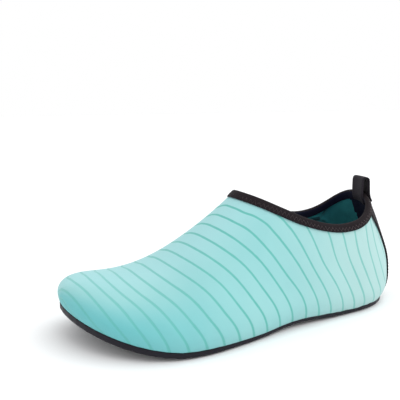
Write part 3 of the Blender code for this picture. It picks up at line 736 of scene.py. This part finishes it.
def thread_tube(name, lines, radius, closed):
    """Thin round thread through lists of points, as one mesh."""
    curve = bpy.data.curves.new(name, "CURVE")
    curve.dimensions = "3D"
    curve.bevel_depth = radius
    curve.bevel_resolution = 1
    curve.use_fill_caps = not closed
    for line in lines:
        spline = curve.splines.new("POLY")
        spline.points.add(len(line) - 1)
        for point, where in zip(spline.points, line):
            point.co = (*where, 1.0)
        spline.use_cyclic_u = closed
    item = bpy.data.objects.new(name, curve)
    bpy.context.scene.collection.objects.link(item)
    activate(item)
    bpy.ops.object.convert(target="MESH")
    item = bpy.context.object
    bpy.ops.object.shade_smooth()
    return item


def tree_of(piece):
    """A piece's faces, ready for rays."""
    faces = [tuple(face.vertices) for face in piece.data.polygons]
    return BVHTree.FromPolygons([tuple(v.co) for v in piece.data.vertices], faces)


def on_collar(shell, run, depth):
    """A point on the binding's outer face at a length round the collar and a depth."""
    turn = np.interp(run * MM, COLLAR_RUN, np.concatenate([TURNS, [TURNS[0] + 2 * math.pi]]))
    out = Vector((math.cos(turn), math.sin(turn), 0))
    ring = np.concatenate([TURNS, [TURNS[0] + 2 * math.pi]])
    top = float(np.interp(turn, ring, np.concatenate([TOP_EDGE, TOP_EDGE[:1]])))
    start = Vector((collar_middle[0], collar_middle[1], top - depth * MM)) + out * 0.2
    place, normal, _, _ = shell.ray_cast(start, -out)
    return place + normal * THREAD * 0.5


shell = tree_of(binding)
length = COLLAR_RUN[-1] / MM
zigzags = 2 * int(length / ZIGZAG_STEP / 2)
path = []
for k in range(zigzags):
    path.append(on_collar(shell, length * k / zigzags, ZIGZAG_LOW if k % 2 else ZIGZAG_HIGH))
thread = thread_tube("binding_thread", [path], THREAD, True)


def thread_material(name, dark, light):
    """Twisted polyester thread: a soft gloss, and the twist as fine slanting bands."""
    material, tree, shader = new_material(name, 0.55, Sheen_Weight=0.05, Specular_IOR_Level=0.3)
    place = add(tree, "ShaderNodeTexCoord").outputs["Object"]
    twist = add(tree, "ShaderNodeTexWave", {"Vector": place, "Scale": 900.0, "Distortion": 1.5},
                bands_direction="DIAGONAL")
    colour = mix(tree, twist.outputs[1], linear(dark), linear(light))
    surface(tree, shader, colour, twist.outputs[1], 0.4, 0.1 * MM)
    return material


black_thread = thread_material("charcoal_polyester_thread", "2A2024", "584A4C")
thread.data.materials.append(black_thread)
ride(thread)

# %% [markdown]
# ## Heel tape and pull loop
# A woven tape covers the back seam and is overlocked along both edges. Under the collar its
# edges are let out a little on the wall. The loop is a strip of
# ribbed webbing folded over the collar, for a finger or a hook. Both are flat straps, which a
# cloth simulation would only spoil, so they are copies of their solids with firm edges.

# %% Strap copies
WIDEN, WIDEN_FROM, WIDEN_TO = 4.0 * MM, 42 * MM, 72 * MM
ROW_REACH, EDGE_SHARE, RAY_START = 3 * MM, 0.75, 0.3
tape = copy_node("heel_tape", "woven_heel_tape")
shell = tree_of(upper)
points = vertices_of(tape)
middle = (tape_low[1] + tape_high[1]) / 2


def from_behind(shell, y, z):
    """Where a line from behind the heel meets a surface, and its normal there."""
    return shell.ray_cast(Vector((-RAY_START, y, z)), Vector((1, 0, 0)))[:2]


for k, (x, y, z) in enumerate(points):
    share = np.clip((z - WIDEN_FROM) / (WIDEN_TO - WIDEN_FROM), 0, 1)
    level = points[np.abs(points[:, 2] - z) < ROW_REACH, 1]
    if share == 0 or abs(y - middle) < EDGE_SHARE * np.abs(level - middle).max():
        continue
    here, normal = from_behind(shell, y, z)
    over = (Vector((x, y, z)) - here).dot(normal)
    here, normal = from_behind(shell, y + math.copysign(WIDEN * share, y - middle), z)
    points[k] = here + normal * over
move_vertices(tape, points)
crease_corners(tape, 0.8)
subdivide(tape, 2)
points = vertices_of(tape)
cloth_attribute(tape, "tape", points[:, 2] / MM, points[:, 1] / MM)
tape.data.materials.append(tape_material("black_woven_tape", "0D0B0E", "231E25", 1.0, 0.7))
ride(tape, "heel_tape")

loop = copy_node("pull_loop", "webbing_loop")
crease_corners(loop, 0.95)
subdivide(loop, 2)
points = vertices_of(loop)
cloth_attribute(loop, "tape", points[:, 2] / MM, points[:, 1] / MM)
loop.data.materials.append(tape_material("charcoal_ribbed_webbing", "131015", "2F2A32", 1.5, 0.65))
ride(loop, "pull_loop")

# %% [markdown]
# ### Stitches
# The heel tape is overlocked down both edges and the loop has two rows across its foot. As with
# the zigzag, rays from behind find the cloth, and one tube follows the points of each row.

# %% Stitches down the tape's edges and across the loop
shell = tree_of(tape)


def on_back(shell, y, z):
    """A point for the thread on the back of the heel at a width and a height."""
    place, normal = from_behind(shell, y, z)
    return None if place is None else place + normal * THREAD * 0.5


STITCH_STEP, STITCH_NEAR, STITCH_FAR, SEAM_END = 1.3 * MM, 0.9 * MM, 2.4 * MM, 1.5 * MM
paths = []
points = vertices_of(tape)
for edge in (-1, 1):
    path = []
    for k in range(int((tape_high[2] - tape_low[2] - 2 * SEAM_END) / STITCH_STEP)):
        z = tape_low[2] + SEAM_END + STITCH_STEP * k
        row = points[np.abs(points[:, 2] - z) < ROW_REACH]
        rim = row[np.argmax(edge * row[:, 1])][1]
        spot = on_back(shell, rim - edge * (STITCH_FAR if k % 2 else STITCH_NEAR), z)
        if spot is not None:
            path.append(spot)
    paths.append(path)
stitches = thread_tube("heel_tape_thread", paths, THREAD, False)
stitches.data.materials.append(black_thread)
ride(stitches)

LOOP_SEAMS, LOOP_STITCHES, SEAM_HALF = (1.3 * MM, 3.4 * MM), 13, 7.2 * MM
shell = tree_of(loop)
low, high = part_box("pull_loop")
paths = []
for height in LOOP_SEAMS:
    path = []
    for k in range(LOOP_STITCHES):
        y = (low[1] + high[1]) / 2 + (2 * k / (LOOP_STITCHES - 1) - 1) * SEAM_HALF
        spot = on_back(shell, y, low[2] + height + (0.25 * MM if k % 2 else 0.0))
        if spot is not None:
            path.append(spot)
    if len(path) > 1:
        paths.append(path)
stitches = thread_tube("loop_thread", paths, THREAD, False)
stitches.data.materials.append(black_thread)
ride(stitches)

# %% [markdown]
# ## Insole
# A die-cut sheet of foam with a thin knit on top. It lies on the sole inside the shoe, and only
# its heel shows through the collar. Its cut edge is rounded with a bevel.

# %% Insole
insole = copy_node("insole", "foam_insole")
activate(insole)
bevel = insole.modifiers.new("edge", "BEVEL")
bevel.width = 0.8 * MM
bevel.segments = 2
bevel.limit_method = "ANGLE"
bevel.angle_limit = math.radians(60)
bpy.ops.object.modifier_apply(modifier=bevel.name)
bpy.ops.object.shade_smooth_by_angle(angle=math.radians(40))
# Thin knit glued on foam: dull and dark, with the foam's pores pressed through
foam, tree, shader = new_material(
    "teal_knit_on_foam", 0.92, Sheen_Weight=0.2, Specular_IOR_Level=0.2)
place = add(tree, "ShaderNodeTexCoord").outputs["Object"]
pores = add(tree, "ShaderNodeTexVoronoi", {"Vector": place, "Scale": 420.0}).outputs[0]
cloud = add(tree, "ShaderNodeTexNoise", {"Vector": place, "Scale": 40.0, "Detail": 3.0}).outputs[0]
colour = mix(tree, cloud, linear("154E5A"), linear("236873"))
colour = mix(tree, maths(tree, "MULTIPLY", pores, 0.5), colour, linear("0F3942"))
surface(tree, shader, colour, pores, 0.4, 0.4 * MM)
insole.data.materials.append(foam)
ride(insole, "insole")

# %% [markdown]
# ## Outsole
# One piece of moulded rubber. The rim, the sunk field, the pods with their grooves and the two
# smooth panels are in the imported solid, which stays as it is and only gets its rubber. The
# honeycomb walls and the fine grid of the toe are made here. Both are a sheet of cells: the cells
# are inset, their middles are deleted, and what is left is extruded and cut to the field's shape.

# %% Moulded rubber
PODS = {
    "x": (183.25, 162.5, 151.75, 126.75, 104.0, 62.5, 34.0),
    "y": (-5.88, 33.2, 1.96, 8.72, 8.33, 18.8, 0.0),
    "r": (9.9, 7.0, 7.0, 5.6, 5.6, 6.8, 9.9),
}
MODEL_Y = 7.653

# Rubber from a blasted mould: a satin black with a hint of blue, hazy where it was handled
rubber, tree, shader = new_material("black_moulded_rubber", 0.5, Specular_IOR_Level=0.2)
place = add(tree, "ShaderNodeTexCoord").outputs["Object"]
grain = add(tree, "ShaderNodeTexNoise", {"Vector": place, "Scale": 1500.0, "Detail": 3.0}).outputs[0]
haze = add(tree, "ShaderNodeTexNoise", {"Vector": place, "Scale": 60.0, "Detail": 4.0}).outputs[0]
# Grip waves on the pods, 1.6 mm apart
waves = add(tree, "ShaderNodeTexWave", {"Vector": place, "Scale": 196.0, "Distortion": 3.0,
                                        "Detail": 1.0, "Detail Scale": 0.6}).outputs[1]
on_pod = None
for x, y, r in zip(PODS["x"], PODS["y"], PODS["r"]):
    centre = (HEEL_X + x * MM, (y - MODEL_Y) * MM, 0.0)
    flat = add(tree, "ShaderNodeVectorMath", {0: place, 1: (1, 1, 0)}, operation="MULTIPLY").outputs[0]
    reach = add(tree, "ShaderNodeVectorMath", {0: flat, 1: centre}, operation="DISTANCE").outputs["Value"]
    here = maths(tree, "LESS_THAN", reach, r * MM)
    on_pod = here if on_pod is None else maths(tree, "MAXIMUM", on_pod, here)
colour = mix(tree, haze, linear("131118"), linear("1D1A25"))
colour = mix(tree, maths(tree, "MULTIPLY", grain, 0.3), colour, linear("0C0B10"))
crest = maths(tree, "MULTIPLY", waves, on_pod)
colour = mix(tree, maths(tree, "MULTIPLY", crest, 0.8), colour, linear("2B2934"))
relief = maths(tree, "ADD", maths(tree, "MULTIPLY", grain, 0.08), crest)
surface(tree, shader, colour, relief, 0.8, 0.6 * MM)
rough = add(tree, "ShaderNodeMapRange", {"Value": haze, "To Min": 0.42, "To Max": 0.58}).outputs[0]
tree.links.new(rough, shader.inputs["Roughness"])
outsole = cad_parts["outsole"]
for slot in outsole.material_slots:
    slot.material = rubber
print("outsole slots", len(outsole.material_slots))

# %% [markdown]
# ### Cutting the tread to its field
# The walls have to end where the sunk field ends, round every pod. Drawing that outline twice
# would be double work, so the solid's own floor is copied, laid flat and raised to a block, and
# a Boolean keeps what lies in it. The result is then bent to the underside.

# %% Floors of the field and of the toe panel, laid flat
RIM_LIFT, CELL_DEPTH, TOE_PANEL_DEPTH = 0.6 * MM, 2.1 * MM, 1.3 * MM


def flat_floor(name, level, low, high):
    """The sole's faces at one level under the sunk field, made level and raised to a block."""
    piece = copy_node("outsole", name)
    points = vertices_of(piece)
    points[:, 2] -= underside(points[:, 0])
    move_vertices(piece, points)
    bm = bmesh.new()
    bm.from_mesh(piece.data)
    bm.normal_update()
    stray = [
        face for face in bm.faces
        if face.normal.z > -0.9 or abs(face.calc_center_median().z - level) > 0.15 * MM
    ]
    bmesh.ops.delete(bm, geom=stray, context="FACES")
    bmesh.ops.dissolve_limit(bm, angle_limit=0.02, verts=bm.verts, edges=bm.edges)
    bm.to_mesh(piece.data)
    bm.free()
    points = vertices_of(piece)
    points[:, 2] = high
    move_vertices(piece, points)
    activate(piece)
    bpy.ops.object.mode_set(mode="EDIT")
    bpy.ops.mesh.select_all(action="SELECT")
    bpy.ops.mesh.extrude_region_move(TRANSFORM_OT_translate={"value": (0, 0, low - high)})
    bpy.ops.mesh.select_all(action="SELECT")
    bpy.ops.mesh.normals_make_consistent(inside=False)
    bpy.ops.object.mode_set(mode="OBJECT")
    print(name, len(piece.data.polygons), "faces")
    return piece


def cut_to(piece, block):
    """Keeps what of a piece lies in a block, then lets it follow the sole's underside."""
    activate(piece)
    modifier = piece.modifiers.new("cut", "BOOLEAN")
    modifier.operation = "INTERSECT"
    modifier.solver = "EXACT"
    modifier.object = block
    bpy.ops.object.modifier_apply(modifier=modifier.name)
    mesh = block.data
    bpy.data.objects.remove(block)
    bpy.data.meshes.remove(mesh)
    points = vertices_of(piece)
    points[:, 2] += underside(points[:, 0])
    move_vertices(piece, points)
    piece.data.materials.clear()
    piece.data.materials.append(rubber)
    activate(piece)
    bpy.ops.object.shade_smooth_by_angle(angle=math.radians(30))


def walls_from_sheet(piece, wall, low, high):
    """Insets every cell of a sheet, deletes the middles and gives the rest its height."""
    activate(piece)
    bpy.ops.object.mode_set(mode="EDIT")
    bpy.ops.mesh.select_all(action="SELECT")
    bpy.ops.mesh.remove_doubles(threshold=0.02 * MM)
    bpy.ops.mesh.inset(thickness=wall / 2, use_individual=True)
    bpy.ops.mesh.delete(type="FACE")
    bpy.ops.mesh.select_all(action="SELECT")
    bpy.ops.mesh.extrude_region_move(TRANSFORM_OT_translate={"value": (0, 0, high - low)})
    bpy.ops.mesh.select_all(action="SELECT")
    bpy.ops.mesh.normals_make_consistent(inside=False)
    bpy.ops.object.mode_set(mode="OBJECT")


# %% [markdown]
# ### Honeycomb
# Six-sided cells, 8 mm apart, with walls of 1.3 mm. One hexagon is made and repeated by arrays,
# which keeps the sheet regular; a texture would have no depth from the side.

# %% Honeycomb
CELL_PITCH, CELL_WALL = 8.0 * MM, 1.3 * MM
HONEY_TURN = math.radians(10)
sole_low, sole_high = (np.array(c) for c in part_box("outsole"))

bpy.ops.mesh.primitive_circle_add(
    vertices=6, radius=CELL_PITCH / math.sqrt(3), fill_type="NGON", location=(0, 0, 0))
honey = bpy.context.object
honey.name = "honeycomb_walls"
honey.data.transform(Matrix.Rotation(math.pi / 2, 4, "Z"))


def repeat(piece, step, count):
    """Repeats a piece along a step with the Array modifier."""
    activate(piece)
    modifier = piece.modifiers.new("repeat", "ARRAY")
    modifier.use_relative_offset = False
    modifier.use_constant_offset = True
    modifier.constant_offset_displace = step
    modifier.count = count
    bpy.ops.object.modifier_apply(modifier=modifier.name)


repeat(honey, (CELL_PITCH * math.sqrt(3) / 2, CELL_PITCH / 2, 0), 2)
repeat(honey, (0, CELL_PITCH, 0), 20)
repeat(honey, (CELL_PITCH * math.sqrt(3), 0, 0), 20)
middle = (sole_low + sole_high) / 2
points = vertices_of(honey)
points -= (points.min(axis=0) + points.max(axis=0)) / 2
move_vertices(honey, points)
honey.data.transform(
    Matrix.Translation((middle[0], middle[1], RIM_LIFT)) @ Matrix.Rotation(HONEY_TURN, 4, "Z"))
print("cells", len(honey.data.polygons))
walls_from_sheet(honey, CELL_WALL, RIM_LIFT, CELL_DEPTH + 0.25 * MM)
block = flat_floor("field_block", CELL_DEPTH, 0.1 * MM, CELL_DEPTH + 0.2 * MM)
cut_to(honey, block)
ride(honey)

# %% [markdown]
# ### Grid of the toe
# Under the toes the walls are square and finer, so a grid primitive gives the cells.

# %% Fine grid of the toe
GRID_PITCH, GRID_WALL = 4.0 * MM, 0.8 * MM
low_x = sole_high[0] - 0.085
count_x = int((sole_high[0] + 0.01 - low_x) / GRID_PITCH)
count_y = int((sole_high[1] - sole_low[1] + 0.01) / GRID_PITCH)
bpy.ops.mesh.primitive_grid_add(x_subdivisions=count_x, y_subdivisions=count_y, size=1.0)
grid = bpy.context.object
grid.name = "toe_grid"
points = vertices_of(grid)
points[:, 0] = low_x + (points[:, 0] + 0.5) * count_x * GRID_PITCH
points[:, 1] = middle[1] + points[:, 1] * count_y * GRID_PITCH
points[:, 2] = RIM_LIFT + 0.1 * MM
move_vertices(grid, points)
walls_from_sheet(grid, GRID_WALL, RIM_LIFT + 0.1 * MM, TOE_PANEL_DEPTH + 0.25 * MM)
block = flat_floor("toe_block", TOE_PANEL_DEPTH, 0.1 * MM, TOE_PANEL_DEPTH + 0.2 * MM)
cut_to(grid, block)
ride(grid)

# %% [markdown]
# ### Domes
# Two low domes behind the arch come polished out of the mould. A sphere, flattened until only a
# cap stands out of the field, is simpler than spinning a profile.

# %% Two glossy domes in the arch
DOME_HEIGHT = 0.95
DOMES = {"x": (82.0, 63.75), "y": (3.43, -5.88), "r": (4.9, 5.7)}
# Rubber from a polished spot of the mould: the same black, with a clear wet-looking highlight
gloss, tree, shader = new_material(
    "polished_moulded_rubber", 0.12, Coat_Weight=0.4, Coat_Roughness=0.06)
place = add(tree, "ShaderNodeTexCoord").outputs["Object"]
haze = add(tree, "ShaderNodeTexNoise", {"Vector": place, "Scale": 140.0, "Detail": 3.0}).outputs[0]
surface(tree, shader, mix(tree, haze, linear("15131B"), linear("1E1B26")), haze, 0.08, 0.2 * MM)
rough = add(tree, "ShaderNodeMapRange", {"Value": haze, "To Min": 0.10, "To Max": 0.2}).outputs[0]
tree.links.new(rough, shader.inputs["Roughness"])
for k, (x, y, r) in enumerate(zip(DOMES["x"], DOMES["y"], DOMES["r"])):
    here = HEEL_X + x * MM
    face = float(underside(here)) + 0.5 * CELL_DEPTH
    bpy.ops.mesh.primitive_uv_sphere_add(
        segments=32, ring_count=16, radius=r * MM, location=(0, 0, 0))
    dome = bpy.context.object
    dome.name = "sole_dome_%d" % k
    points = vertices_of(dome)
    points[:, 2] *= DOME_HEIGHT / r
    points += (here, (y - MODEL_Y) * MM, face)
    move_vertices(dome, points)
    activate(dome)
    bpy.ops.object.shade_smooth()
    dome.data.materials.append(gloss)
    ride(dome)
